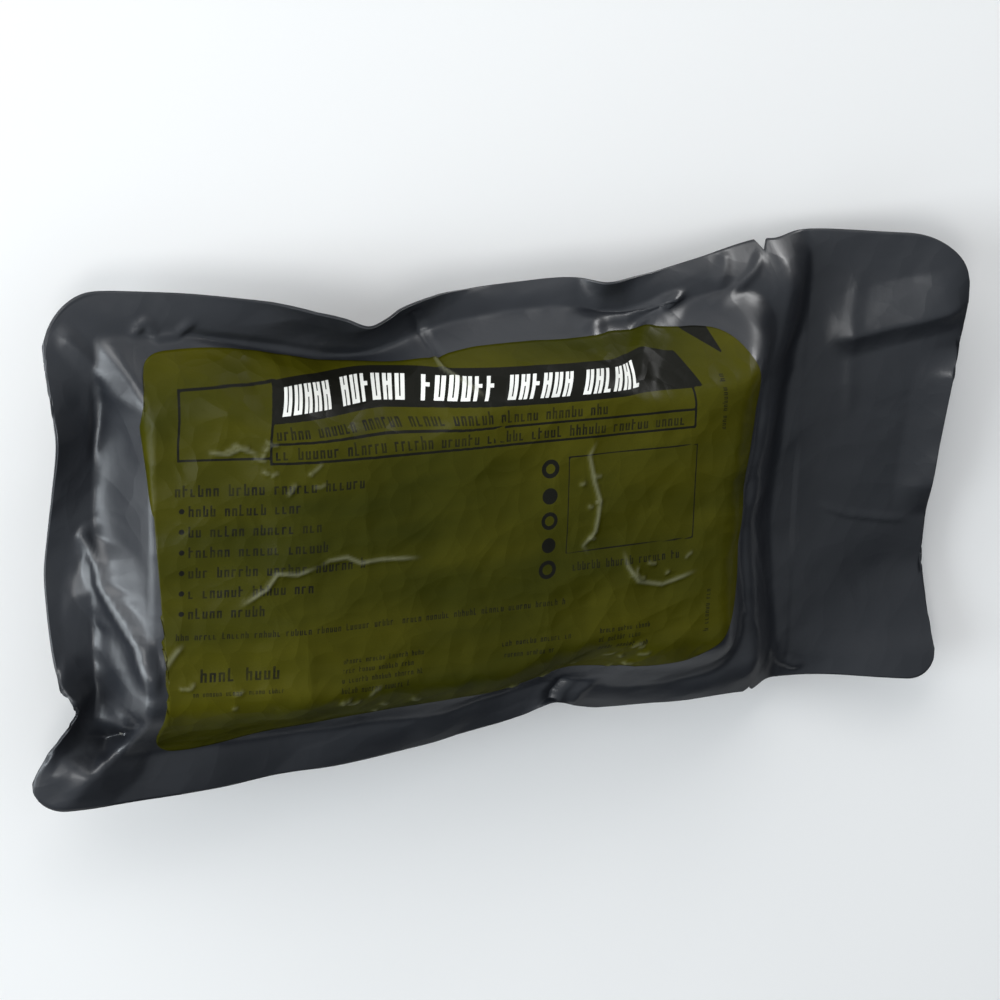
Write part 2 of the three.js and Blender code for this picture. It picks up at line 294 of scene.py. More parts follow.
def lower_foot(s):
    return -PACK_WIDTH / 2 + SIDE_FLANGE * along(LOWER_FLANGE, DENT, s / HALF_LENGTH)


def half_width_at(s, left_radius, right_radius, notch_at):
    """Half width of the flat sheet, with its rounded corners and its tear notch."""
    radius = np.where(s < 0, left_radius, right_radius)
    past = np.clip((np.abs(s) - (HALF_LENGTH - radius)) / radius, 0, 1)
    notch = NOTCH_DEPTH * np.clip(1 - np.abs(s - notch_at) / (NOTCH_WIDTH / 2), 0, 1)
    return HALF_WIDTH - radius + radius * np.sqrt(1 - past * past) - notch


def upper_edge(s):
    return half_width_at(s, UPPER_LEFT_RADIUS, UPPER_RIGHT_RADIUS, UPPER_NOTCH_AT)


def lower_edge(s):
    return -half_width_at(s, LOWER_LEFT_RADIUS, LOWER_RIGHT_RADIUS, LOWER_NOTCH_AT)


def seal_points(s, t):
    """The plane in which the films are sealed, formed."""
    share = s / HALF_LENGTH
    across = t / HALF_WIDTH
    top = upper_foot(s)
    foot = lower_foot(s)
    up = bend((t - top + SEAL_RUN) / (HALF_WIDTH - top + SEAL_RUN))
    down = bend((foot + SEAL_RUN - t) / (HALF_WIDTH + foot + SEAL_RUN))
    left = bend((PACK_LEFT + SEAL_RUN - s) / (END_FLANGE + SEAL_RUN))
    fall = smooth((s - pack_right(t)) / TAIL_RUN)
    end = smooth((s - HALF_LENGTH + CURL_RUN) / CURL_RUN)
    inward = along(UPPER_FLANGE, PULL, share) * up - along(LOWER_FLANGE, PULL, share) * down
    lift = along(UPPER_FLANGE, LIFT, share) * up + along(LOWER_FLANGE, LIFT, share) * down
    x = s + END_FLANGE * along(LEFT_FLANGE, PULL, across) * left
    y = t - SIDE_FLANGE * inward
    z = SIDE_FLANGE * lift + END_FLANGE * along(LEFT_FLANGE, LIFT, across) * left
    z = z - TAIL_DROP * fall * (1 + (along(TAIL_CURL, LEFT_OVER, across) - 1) * end)
    return np.stack([x, y, z + SEAL_HEIGHT], axis=-1)


def bulge(s, t):
    """Share of the full depth to which the pack has risen."""
    left = np.clip((s - PACK_LEFT) / LEFT_WALL, 0, 1)
    left += LEFT_WALL_STRAIGHT * (1 - np.sqrt(1 - left) - left)
    right = (pack_right(t) - s) / RIGHT_WALL
    down = (t - lower_foot(s)) / LOWER_WALL
    up = (upper_foot(s) - t) / UPPER_WALL
    sharp = smooth((SHARP_CORNER_FROM[0] - s) / SHARP_CORNER_RUN[0])
    sharp *= smooth((t - SHARP_CORNER_FROM[1]) / SHARP_CORNER_RUN[1])
    power = CORNER_POWER + (SHARP_CORNER_POWER - CORNER_POWER) * sharp
    a = 1 - np.clip(np.minimum(left, right), 0, 1)
    b = 1 - np.clip(np.minimum(down, up), 0, 1)
    larger = np.maximum(np.maximum(a, b), TINY)
    corner = larger * ((np.minimum(a, b) / larger) ** power + 1) ** (1 / power)
    return eased_rise(1 - corner)


def back_bulge(s, t):
    """The same behind the seal, where the walls are rounder."""
    left = (s - PACK_LEFT) / BACK_LEFT_WALL
    right = (pack_right(t) - s) / RIGHT_WALL / BACK_WALL_WIDER
    down = (t - lower_foot(s)) / LOWER_WALL / BACK_WALL_WIDER
    up = (upper_foot(s) - t) / UPPER_WALL / BACK_WALL_WIDER
    a = np.maximum(BACK_CORNER_WALLS - np.minimum(left, right), 0)
    b = np.maximum(BACK_CORNER_WALLS - np.minimum(down, up), 0)
    return eased_rise(BACK_CORNER_WALLS - np.hypot(a, b))


def eased_rise(inside):
    """The rise over a wall from its foot, at 0, to its top, at 1."""
    inside = np.clip(inside, 0, 1)
    eased = np.hypot(inside, FOOT_SHARE) - FOOT_SHARE
    eased = eased / (math.hypot(1, FOOT_SHARE) - FOOT_SHARE)
    return 1 - (1 - eased) ** 2


def crown(s, t):
    u = np.clip((s - (PACK_LEFT + PACK_RIGHT) / 2) / (PACK_LENGTH / 2), -1, 1)
    v = np.clip(t / (PACK_WIDTH / 2), -1, 1)
    return FRONT_CROWN * (1 - u * u) * (1 - v * v)


def front_points(s, t):
    """The label's side, which slopes down a little towards its left end."""
    points = seal_points(s, t)
    ramp = np.clip((s - PACK_LEFT - LEFT_WALL) / LEFT_END_RUN, 0, 1)
    full = 1 - LEFT_END_LOWER * (1 - ramp) ** LEFT_END_POWER
    points[..., 2] += bulge(s, t) * full * (FRONT_DEPTH + crown(s, t))
    return points


def back_points(s, t):
    points = seal_points(s, t)
    points[..., 2] -= back_bulge(s, t) * BACK_DEPTH
    return points


def normals(points):
    """Unit normals of a grid of points, upwards where the sheet is flat."""
    along_s = np.gradient(points, axis=0)
    along_t = np.gradient(points, axis=1)
    cross = np.cross(along_s, along_t)
    return cross / np.maximum(np.linalg.norm(cross, axis=-1, keepdims=True), TINY)


def net(u, v, span, cell_s, cell_t, seed):
    """Where each place lies in its cell, and random values at the cell's four corners."""
    i = np.floor(u).astype(int)
    j = np.floor(v).astype(int)
    rng = np.random.default_rng(seed)
    values = rng.uniform(-1, 1, (int(span / cell_s) + 3, int(span / cell_t) + 3))
    return u - i, v - j, values[i, j], values[i + 1, j], values[i, j + 1], values[i + 1, j + 1]


def wander(s, t, cell_s, cell_t, seed):
    """Smooth noise from -1 to 1 with the given cell sizes."""
    u = (s + WANDER_REACH) / cell_s
    v = (t + WANDER_REACH) / cell_t
    a, b, near, next_s, next_t, far = net(u, v, WANDER_SPAN, cell_s, cell_t, seed)
    a = a * a * a * (a * (a * 6 - 15) + 10)
    b = b * b * b * (b * (b * 6 - 15) + 10)
    low = near * (1 - a) + next_s * a
    high = next_t * (1 - a) + far * a
    return low * (1 - b) + high * b


def crumple(s, t, cell_s, cell_t, seed):
    """Flat facets between sharp creases, from -1 to 1: a warped net of triangles."""
    turn = seed * CRUMPLE_TURN
    wide_s = cell_s * CRUMPLE_WARP_CELL
    wide_t = cell_t * CRUMPLE_WARP_CELL
    first = seed * CRUMPLE_SEED_STEP + 1
    along_s = s + cell_s * CRUMPLE_WARP * wander(s, t, wide_s, wide_s, first)
    along_t = t + cell_t * CRUMPLE_WARP * wander(s, t, wide_t, wide_t, first + 1)
    u = (along_s * math.cos(turn) - along_t * math.sin(turn) + CRUMPLE_REACH) / cell_s
    v = (along_s * math.sin(turn) + along_t * math.cos(turn) + CRUMPLE_REACH) / cell_t
    a, b, near, next_s, next_t, far = net(u, v, CRUMPLE_SPAN, cell_s, cell_t, seed)
    low = near + a * (next_s - near) + b * (next_t - near)
    high = far + (1 - a) * (next_t - far) + (1 - b) * (next_s - far)
    return np.where(a + b < 1, low, high)


# The lower left corner, where the film is folded into flat facets: places (s, t) and heights of
# the folds' corners, the runs of corners that a fold joins, and the rim, which lies flat
PLEAT_WAY = np.array((-0.44, 0.27, 0.86))
PLEATED = (-90.0, -60.0)
PLEAT_CORNERS = [
    (-77.5, 2.8, 0.9), (-76.0, 0.7, 1.6), (-74.8, -2.0, 2.3), (-74.4, -4.7, 2.9),
    (-73.6, -6.5, 3.1), (-72.6, -9.0, 2.7), (-71.8, -11.0, 2.3), (-70.9, -13.1, 1.9),
    (-70.5, -15.3, 1.6), (-70.0, -17.7, 1.3), (-69.7, -19.2, 1.0), (-68.4, -20.9, 0.3),
    (-77.4, -1.7, 0.4), (-78.6, -3.9, 0.4), (-79.0, -6.6, 0.5), (-77.5, -9.0, 0.6),
    (-75.6, -10.7, 0.9), (-73.9, -12.2, 1.2), (-73.8, -15.2, 1.3), (-73.3, -18.0, 1.2),
    (-72.7, -20.7, 1.0), (-72.0, -23.6, 1.0), (-71.2, -27.0, 1.0), (-76.2, -6.5, 1.9),
    (-73.9, -8.6, 2.6), (-73.2, -11.3, 2.0), (-72.9, -13.7, 1.6), (-72.6, -16.1, 1.3),
    (-72.0, -18.3, 1.1), (-71.5, -20.1, 0.9), (-70.8, -20.7, 0.8), (-69.7, -20.7, 0.5),
    (-73.5, -11.4, 2.3), (-73.3, -13.8, 2.1), (-72.9, -16.2, 1.9), (-72.3, -18.5, 1.7),
    (-71.8, -20.7, 1.4), (-73.9, 2.2, -0.1), (-72.3, 1.9, -0.3), (-71.1, 0.7, -0.5),
    (-70.5, -1.7, -0.6), (-70.3, -5.1, -0.6), (-70.0, -8.6, -0.6), (-69.9, -12.0, -0.5),
    (-69.6, -15.6, -0.3), (-86.0, -21.3, 1.2), (-84.0, -20.3, 1.4), (-84.0, -21.5, 1.6),
    (-76.0, -26.3, 1.7), (-73.5, -27.3, 1.8), (-71.8, -27.5, 1.9), (-86.0, -23.6, -0.6),
    (-84.0, -23.4, -1.0), (-77.1, -29.4, -1.9), (-73.5, -30.0, -3.0), (-71.5, -28.7, -3.4),
    (-70.9, -26.9, -2.0), (-74.8, -32.6, -0.9), (-73.5, -33.5, 0.4), (-68.5, -21.9, 0.4),
    (-69.7, -24.3, 0.8), (-70.5, -28.2, 1.4), (-70.8, -31.7, 2.0), (-73.5, -33.9, 2.6),
    (-75.4, -36.2, 2.8), (-76.9, -38.1, 2.4), (-78.3, -40.1, 1.6), (-78.7, -30.3, -1.2),
    (-81.1, -32.3, 0.2), (-82.0, -35.4, 0.9),
]
PLEAT_CREST = range(12)
PLEAT_FOLDS = [
    PLEAT_CREST, (0, *range(12, 23)), (1, *range(23, 32)), (24, *range(32, 37)), range(37, 45),
    (*range(45, 51), 22), range(51, 57), (53, 57, 58), range(59, 67), range(67, 70),
]
PLEAT_RIM = [
    (-77.5, 4.9), (-73.9, 5.4), (-71.7, 6.3), (-69.9, 5.1), (-69.0, 2.1), (-68.7, -4.4),
    (-68.7, -10.5), (-68.1, -16.7), (-67.2, -22.5), (-65.2, -30.2), (-67.6, -36.8),
    (-71.8, -40.5), (-74.0, -44.0), (-86.0, -44.0), (-86.0, -18.0), (-84.0, -18.5),
    (-82.0, -15.2), (-81.6, -11.3), (-81.3, -6.3), (-79.9, -1.4), (-79.0, 2.5),
]
SAME_PLACE = 0.001


def pleat_height(s, t):
    """Height of the flat facets, nothing outside their rim."""
    corners = PLEAT_CORNERS + [(*place, 0.0) for place in PLEAT_RIM]
    first = len(PLEAT_CORNERS)
    edges = [pair for run in PLEAT_FOLDS for pair in zip(run[:-1], run[1:])]
    edges += [(k, k + 1) for k in range(first, len(corners) - 1)] + [(len(corners) - 1, first)]
    flat = [Vector(corner[:2]) for corner in corners]
    places, _, faces, came_from, _, _ = delaunay_2d_cdt(flat, edges, [], 0, SAME_PLACE)
    heights = [corners[came[0]][2] if came else 0.0 for came in came_from]
    total = np.zeros_like(s)
    inside = (s > PLEATED[0]) & (s < PLEATED[1])
    x = s[inside]
    y = t[inside]
    found = np.zeros_like(x)
    for a, b, c in faces:
        (ax, ay), (bx, by), (cx, cy) = places[a], places[b], places[c]
        area = (bx - ax) * (cy - ay) - (cx - ax) * (by - ay)
        if abs(area) < TINY:
            continue
        wb = ((x - ax) * (cy - ay) - (cx - ax) * (y - ay)) / area
        wc = ((bx - ax) * (y - ay) - (x - ax) * (by - ay)) / area
        wa = 1 - wb - wc
        hit = (wa >= 0) & (wb >= 0) & (wc >= 0)
        found = np.where(hit, wa * heights[a] + wb * heights[b] + wc * heights[c], found)
    total[inside] = found
    for axis in (0, 1):
        total = (np.roll(total, 1, axis) + 2 * total + np.roll(total, -1, axis)) / 4
    return total


# A fold's rounded top, how its sides fall, and how it fades towards its two ends
FOLD_ROUNDING = 0.18
FOLD_POWER = 1.4
FOLD_FADES = 0.22
FOLD_END = 0.12

# The lip along the tail's end, in the same form as the folds
END_LIP = ([(84.5, 20), (84.5, 6), (84.5, -12)], 3.6, 8.0, 8.0)

# Folds of the front film, each a run of points (s, t) on the flat sheet: height at the fold,
# and how far it spreads to the left and to the right of the way the points run
FOLDS = [
    # left end, upper half
    ([(-81.5, 35.5), (-78.5, 32.2), (-74.7, 28.2), (-72.9, 25.7), (-70.6, 22.9)], 0.7, 2.0, 2.6),
    ([(-74.6, 28.5), (-74.6, 24.2), (-74.9, 20.1), (-76.0, 14.0)], -0.55, 1.2, 1.6),
    ([(-70.0, 33.0), (-67.3, 35.6), (-65.6, 32.6), (-62.4, 32.9), (-59.0, 36.4)], 0.45, 1.4, 1.0),
    ([(-63.5, 34.0), (-57.0, 32.1), (-50.7, 30.6), (-39.5, 28.0), (-27.0, 27.7)], -0.5, 1.8, 1.4),
    # left end, lower half
    ([PLEAT_CORNERS[k][:2] for k in PLEAT_CREST], 0.8, 1.6, 1.0),
    # upper flange
    ([(-24, 39), (-22.0, 33.7), (-21.0, 28.5), (-20, 25.5)], -0.7, 1.6, 2.2),
    ([(27, 35), (24, 32.8), (21.2, 30.2), (17.5, 28.3), (13.5, 25.7), (9, 22)], 1.1, 2.6, 1.5),
    ([(4, 30), (9, 30.2), (14.5, 30.1), (20, 31.6), (26, 34)], 1.3, 2.2, 1.6),
    ([(43.7, 39.7), (40.3, 36.4), (34.5, 32.6), (29.6, 31.1)], 0.45, 1.4, 1.2),
    ([(36, 41), (34.6, 37.5), (32.5, 34)], 0.4, 2.0, 2.4),
    # tail
    ([(65.5, 35), (64.2, 27), (64.6, 19.8), (65.5, 7)], 0.25, 2.0, 1.6),
    ([(60, 21.3), (69.1, 23.9), (75.7, 25.7), (84.5, 28.3)], 1.6, 7.5, 4.0),
    ([(60.3, -7.8), (67.2, -10.3), (74.5, -11.7), (80.5, -12.6)], 0.3, 1.0, 0.9),
    ([(43.5, -9), (46, -15), (49.6, -23), (51, -27)], 0.35, 0.9, 1.0),
    ([(51.7, -31.9), (55.5, -36.5), (60.0, -39.5)], 0.5, 1.6, 1.4),
    # right shoulder
    ([(36.5, -4), (37.2, -14), (39.5, -21), (46, -29)], 0.3, 0.9, 0.9),
    # lower flange
    ([(4.5, -41), (5.0, -34.5), (7.5, -29.5)], -0.9, 2.2, 1.8),
    ([(9.5, -41), (10.0, -35), (13, -30)], 0.5, 1.8, 1.8),
]


def fold_height(s, t, points, height, left, right):
    """A crease along a run of points, sharp on top, with its own spread on each side."""
    nearest = np.full(s.shape, np.inf)
    side = np.zeros_like(s)
    progress = np.zeros_like(s)
    points = np.array(points, float)
    lengths = np.linalg.norm(np.diff(points, axis=0), axis=1)
    done = 0.0
    for a, b, length in zip(points[:-1], points[1:], lengths):
        way = (b - a) / length
        run = np.clip((s - a[0]) * way[0] + (t - a[1]) * way[1], 0, length)
        off_s = s - a[0] - run * way[0]
        off_t = t - a[1] - run * way[1]
        away = np.hypot(off_s, off_t)
        closer = away < nearest
        nearest = np.where(closer, away, nearest)
        side = np.where(closer, way[0] * off_t - way[1] * off_s, side)
        progress = np.where(closer, (done + run) / lengths.sum(), progress)
        done += length
    width = np.where(side > 0, left, right)
    rounded = np.hypot(nearest, FOLD_ROUNDING) - FOLD_ROUNDING
    profile = np.clip(1 - rounded / width, 0, 1) ** FOLD_POWER
    taper = smooth(np.minimum(progress, 1 - progress) / FOLD_FADES + FOLD_END)
    return height * profile * taper


def all_folds(s, t, folds):
    total = np.zeros_like(s)
    for points, height, left, right in folds:
        total += fold_height(s, t, points, height, left, right)
    return total


# Small creases of the printed label, in the same form as the folds
LABEL_CREASES = [
    (
        [(2.0, 14.8), (0.6, 12.5), (1.5, 8.4), (2.7, 5.0), (2.2, 0.1), (0.1, -2.1), (1.1, -3.6)],
        0.3, 0.8, 0.6,
    ),
    ([(7.6, -3.8), (8.4, -6.4), (10.5, -9.1), (15.1, -10.2), (21.6, -8.7)], 0.3, 0.8, 0.7),
    ([(-57.1, -6.5), (-53.1, -3.9), (-51.7, -1.5), (-48.6, -1.8), (-45.3, -0.7)], 0.26, 0.7, 0.6),
    (
        [(-45.3, -0.7), (-43.7, 0.1), (-40.8, 0.3), (-38.4, -0.9), (-35.1, -0.7), (-28.3, -1.1)],
        0.26, 0.6, 0.7,
    ),
    ([(-69.8, -18.5), (-68.6, -16.7), (-66.5, -13.5), (-65.4, -12.1)], 0.35, 0.8, 0.8),
    ([(-21.5, 28.5), (-21.0, 25.9), (-19.5, 24.7), (-16.8, 22.6)], 0.35, 0.8, 0.6),
    ([(-62, 17.6), (-59, 17.2), (-57.2, 18.0), (-54.5, 17.0)], 0.25, 0.7, 0.6),
]

# Zones of small creases on the label, painted paler as wear and as painted glints: middle s and t,
# reach along and across, how many small creases
SCUFF_AND_GLINT_ZONES = [
    (-58.0, 18.0, 5.0, 2.0, 6),
    (-51.0, 12.5, 6.0, 2.5, 6),
    (-60.0, -21.0, 7.0, 2.5, 4),
    (-32.0, -25.0, 14.0, 2.5, 7),
    (-8.0, -27.0, 10.0, 2.5, 6),
    (11.0, -24.0, 9.0, 3.5, 12),
    (1.5, 2.0, 3.0, 9.0, 5),
    (16.0, -9.0, 8.0, 3.0, 5),
]

# Paler paint along the creases, partly wear and partly painted glints, more where a crease has
# more points
WEAR_AND_GLINT_BY_LENGTH = 0.12
WEAR_AND_GLINT_POWER = 1.4
WEAR_AND_GLINT_SPREAD = 0.5

SCUFF_SEED = 41
SCUFF_TURN = 0.9
SCUFF_LENGTH = (0.4, 1.3)
SCUFF_HEIGHT = (0.15, 0.4)
SCUFF_SPREAD = 0.6


def scuff_and_glint_creases():
    """Small bent creases scattered over the zones, painted paler on the label as wear and as
    painted glints.
    """
    rng = np.random.default_rng(SCUFF_SEED)
    found = []
    for middle_s, middle_t, reach_s, reach_t, count in SCUFF_AND_GLINT_ZONES:
        for _ in range(count):
            start = np.array((middle_s, middle_t)) + rng.uniform(-1, 1, 2) * (reach_s, reach_t)
            turn = rng.uniform(-SCUFF_TURN, SCUFF_TURN)
            bent = turn + rng.uniform(-SCUFF_TURN, SCUFF_TURN)
            length = rng.uniform(*SCUFF_LENGTH)
            knee = start + length * np.array((math.cos(turn), math.sin(turn)))
            end = knee + length * np.array((math.cos(bent), math.sin(bent)))
            height = rng.uniform(*SCUFF_HEIGHT)
            found.append(([start, knee, end], height, SCUFF_SPREAD, SCUFF_SPREAD))
    return found


LABEL_CREASES += scuff_and_glint_creases()


def label_outline(share):
    """Lower and upper edge of the label at a share of its length."""
    upper = LABEL_TOP - PACK_WIDTH * along(LABEL_OUTLINE, UPPER_EDGE, share)
    lower = LABEL_BOTTOM + PACK_WIDTH * along(LABEL_OUTLINE, LOWER_EDGE, share)
    return lower, upper


# Uneven relief of each zone: the kind of noise, its height, its cell along and across, its seed
FLANGE_RELIEF = [(wander, 0.4, 13, 9, 11), (crumple, 0.3, 11, 7, 12)]
WALL_RELIEF = [(crumple, 0.3, 9, 12, 13), (wander, 0.15, 7, 7, 14)]
TOP_RELIEF = [
    (wander, 0.3, 30, 5.5, 15),
    (wander, 0.12, 12, 8, 16),
    (crumple, 0.24, 24, 7, 17),
    (crumple, 0.07, 9, 6, 18),
]
BACK_WALL_RELIEF = [
    (crumple, 0.5, 11, 9, 23),
    (crumple, 0.25, 6, 6, 24),
    (wander, 0.5, 8, 40, 25),
    (wander, 0.4, 40, 8, 26),
]
LABEL_RELIEF = [(crumple, 0.05, 9, 5, 33)]
PATCHY_RELIEF = [(crumple, 0.08, 5, 3.2, 32)]
PATCHES = [(wander, 1.0, 15, 11, 31)]
PATCHES_SPREAD = 0.35
TAIL_RELIEF_SHARE = 0.6


def uneven(s, t, rows):
    """The sum of some rows of uneven relief."""
    return sum(height * kind(s, t, *cells) for kind, height, *cells in rows)


def front_relief(s, t):
    """How far the front film stands off its plain form."""
    risen = bulge(s, t)
    flange = (1 - risen) ** 2 * np.where(s > PACK_RIGHT + TAIL_RUN, TAIL_RELIEF_SHARE, 1.0)
    slope = risen * (1 - risen) * 4
    total = all_folds(s, t, FOLDS)
    total += flange * uneven(s, t, FLANGE_RELIEF)
    total += slope * uneven(s, t, WALL_RELIEF)
    total += risen * uneven(s, t, TOP_RELIEF)
    return total


def tail_lean(s, t):
    """The free tail's lower corner sinks, and a lip rises along the middle of its end."""
    sunk = LOWER_CORNER_SINKS * smooth((s - LOWER_CORNER_FROM[0]) / LOWER_CORNER_RUN[0])
    sunk *= smooth((LOWER_CORNER_FROM[1] - t) / LOWER_CORNER_RUN[1])
    return fold_height(s, t, *END_LIP) - sunk


def folded(points, relief, s, t, pleated=1.0):
    """The surface with its relief, and with the pleats standing out along their own way."""
    formed = points + normals(points) * relief[..., None]
    stand = tail_lean(s, t) + pleat_height(s, t)
    return formed + PLEAT_WAY * (pleated * stand)[..., None]


def back_relief(s, t):
    """How far the back film stands off its plain form: flanges follow the front, and the flat
    back stays flat."""
    risen = back_bulge(s, t)
    slope = risen * (1 - risen) * 4
    total = (1 - risen) ** 2 * front_relief(s, t)
    total -= slope * uneven(s, t, BACK_WALL_RELIEF)
    return total


def label_relief(s, t):
    patchy = smooth(uneven(s, t, PATCHES) + PATCHES_SPREAD)
    total = all_folds(s, t, LABEL_CREASES)
    total += patchy * uneven(s, t, PATCHY_RELIEF)
    total += uneven(s, t, LABEL_RELIEF)
    return total


def stations(stops, cell):
    """Grid lines through the given stops, an even number of cells in all."""
    lines = []
    for a, b in zip(stops[:-1], stops[1:]):
        steps = 2 * max(1, round(abs(b - a) / cell / 2))
        lines.extend(a + (b - a) * k / steps for k in range(steps))
    return np.array(lines + [stops[-1]])


def rounded_end(radius):
    """How far in from an end the grid lines stand that follow its rounded corner."""
    angles = [math.pi / 2 * k / CORNER_STEPS for k in range(CORNER_STEPS)]
    return [radius * (1 - math.cos(angle)) for angle in angles]


def film_grid():
    far = rounded_end(UPPER_RIGHT_RADIUS)
    stops = [-HALF_LENGTH + d for d in (*rounded_end(UPPER_LEFT_RADIUS), UPPER_LEFT_RADIUS)]
    stops += [UPPER_NOTCH_AT - NOTCH_WIDTH / 2, UPPER_NOTCH_AT, UPPER_NOTCH_AT + NOTCH_WIDTH / 2]
    stops += [LOWER_NOTCH_AT, LOWER_NOTCH_AT + NOTCH_WIDTH / 2]
    stops += [HALF_LENGTH - UPPER_RIGHT_RADIUS] + [HALF_LENGTH - d for d in reversed(far)]
    s = stations(stops, FILM_CELL)
    share = stations([-1.0, 0.0, 1.0], FILM_CELL / HALF_WIDTH)
    reach = np.where(share[None, :] < 0, -lower_edge(s)[:, None], upper_edge(s)[:, None])
    t = share[None, :] * reach
    return np.broadcast_to(s[:, None], t.shape), t


def place_object(name, data):
    piece = bpy.data.objects.new(name, data)
    bpy.context.collection.objects.link(piece)
    return piece


def corners_of_cells(values):
    """Values at the four corners of each cell of a grid, in the order of its faces."""
    corners = values[:-1, :-1], values[1:, :-1], values[1:, 1:], values[:-1, 1:]
    return np.stack([corner.ravel() for corner in corners], axis=1)


def shell_mesh(name, outer, inner, flip):
    """A closed thin shell: a fine outer grid, and an inner grid of half as many lines."""
    inner = inner[::2, ::2]
    columns, rows = outer.shape[:2]
    count = columns * rows
    top = np.arange(count).reshape(columns, rows)
    low = count + np.arange(inner.shape[0] * inner.shape[1]).reshape(inner.shape[:2])
    faces = []

    def quads(grid, turned):
        order = (0, 3, 2, 1) if turned else (0, 1, 2, 3)
        faces.extend(corners_of_cells(grid)[:, order].tolist())

    def rim(fine, coarse):
        for k in range(len(coarse) - 1):
            a, b, c = fine[2 * k : 2 * k + 3]
            face = [c, b, a, coarse[k], coarse[k + 1]]
            faces.append(face[::-1] if flip else face)

    quads(top, flip)
    quads(low, not flip)
    rim(top[:, 0].tolist(), low[:, 0].tolist())
    rim(top[-1, :].tolist(), low[-1, :].tolist())
    rim(top[::-1, -1].tolist(), low[::-1, -1].tolist())
    rim(top[0, ::-1].tolist(), low[0, ::-1].tolist())
    points = np.concatenate([outer.reshape(-1, 3), inner.reshape(-1, 3)]) * MM
    mesh = bpy.data.meshes.new(name)
    mesh.from_pydata(points.tolist(), [], faces)
    mesh.polygons.foreach_set("use_smooth", [True] * len(mesh.polygons))
    return place_object(name, mesh)


def point_values(piece, name, outer_values):
    """Keep one number a point, the same on the hidden inner side."""
    inner_values = outer_values[::2, ::2]
    values = np.concatenate([outer_values.ravel(), inner_values.ravel()]).astype(np.float32)
    layer = piece.data.attributes.new(name, "FLOAT", "POINT")
    layer.data.foreach_set("value", values)


def front_film():
    s, t = film_grid()
    formed = folded(front_points(s, t), front_relief(s, t), s, t)
    facing = normals(formed)
    inner = formed + facing * SEAL_GAP / 2
    return shell_mesh("front_laminate", inner + facing * FILM, inner, False)


def back_film():
    s, t = film_grid()
    formed = folded(back_points(s, t), back_relief(s, t), s, t, (1 - back_bulge(s, t)) ** 2)
    facing = normals(formed)
    inner = formed - facing * SEAL_GAP / 2
    return shell_mesh("back_laminate", inner - facing * FILM, inner, True)


def bandage_roll():
    """The rolled bandage that fills the pouch, clear of both films."""
    s = stations([PACK_LEFT + ROLL_INSET, PACK_RIGHT - 2 * ROLL_INSET], ROLL_CELL)[:, None]
    share = stations([0.0, 1.0], ROLL_CELL / PACK_WIDTH)[None, :]
    low = lower_foot(s) + ROLL_INSET
    high = upper_foot(s) - ROLL_INSET
    t = low + (high - low) * share
    s = np.broadcast_to(s, t.shape)
    upper = folded(front_points(s, t), front_relief(s, t) - ROLL_GAP, s, t)
    lower = back_points(s, t)
    lower += normals(lower) * ROLL_GAP
    lower[..., 2] = np.minimum(lower[..., 2], upper[..., 2] - ROLL_EDGE)
    return shell_mesh("bandage_cloth", upper, lower, False)


# Print on the label. Places are (s, t) on the flat sheet.
PRINT_LEFT = -66.2
BOX = (-65.6, -50.6, 16.4, 26.0)
BAR = (-50.6, 20.0, 21.5, 26.0)
BAR_SLANT = 0.4

# How the boxes' upright edges lean where the label drapes over the shoulder: how far at the top,
# from which t and over what run, and between which places s this sets in and fades
BOX_DRAPE = 3.2
BOX_SHIFT = 2.1
DRAPE_FROM = 18.0
DRAPE_RUN = 8.0
DRAPE_SETS_IN = (-75.0, 22.0)
DRAPE_FADES = (-15.0, 30.0)

ROWS = (21.5, 18.4, 15.5)
EMPTY_BOX = (-3.0, 20.6, -3.0, 12.6)
PRINTED_CORNER = (21.5, 27.6, 25.0, 60.0)
PRINTED_CORNER_FOOT = 0.6
PRINTED_CORNER_SLOPE = 0.72
LINE = 0.34
FAINT = 0.07
BULLET = 0.4
ROWS_OF_MARKS = [
    # left, right, middle, height
    (-53.1, 13.9, 23.6, 2.97),
    (-51.9, 4.0, 19.9, 1.8),
    (-52.1, 18.6, 16.9, 1.8),
    (-68.0, -37.5, 11.8, 1.8),
    (-64.9, -47.0, 8.7, 1.7),
    (-64.9, -44.6, 5.5, 1.7),
    (-64.9, -42.0, 2.3, 1.7),
    (-64.9, -36.5, -0.9, 1.7),
    (-64.9, -45.0, -4.1, 1.7),
    (-64.9, -52.5, -7.3, 1.7),
    (-66.6, -2.0, -11.0, 1.1),
    (-2.6, 19.0, -5.4, 1.4),
    (-63.0, -50.0, -17.4, 2.2),
    (-64.0, -50.0, -20.4, 0.8),
    (-41.0, -27.0, -16.6, 0.9),
    (-41.0, -28.5, -18.2, 0.9),
    (-41.0, -26.5, -19.8, 0.9),
    (-41.0, -29.0, -21.4, 0.9),
    (-13.5, -1.0, -17.0, 1.0),
    (-13.5, -3.5, -19.0, 0.9),
    (4.0, 13.5, -16.8, 0.9),
    (4.0, 12.0, -18.2, 0.9),
    (4.0, 14.0, -19.8, 0.9),
]
TITLE_ROW = 0
UPRIGHT_ROWS = [
    # low, high, middle, height
    (14.5, 23.5, 25.4, 1.0),
    (-19.5, -11.5, 24.2, 1.0),
]
BULLETS = (8.7, 5.5, 2.3, -0.9, -4.1, -7.3)
RINGS = [
    # middle s, middle t, radius, hole's share
    (-6.2, 11.0, 1.5, 0.55),
    (-6.2, 6.6, 1.3, 0.0),
    (-6.2, 2.6, 1.4, 0.6),
    (-6.2, -1.4, 1.2, 0.0),
    (-6.2, -5.4, 1.5, 0.6),
]
NOT_IN_A_ROW = 9.0


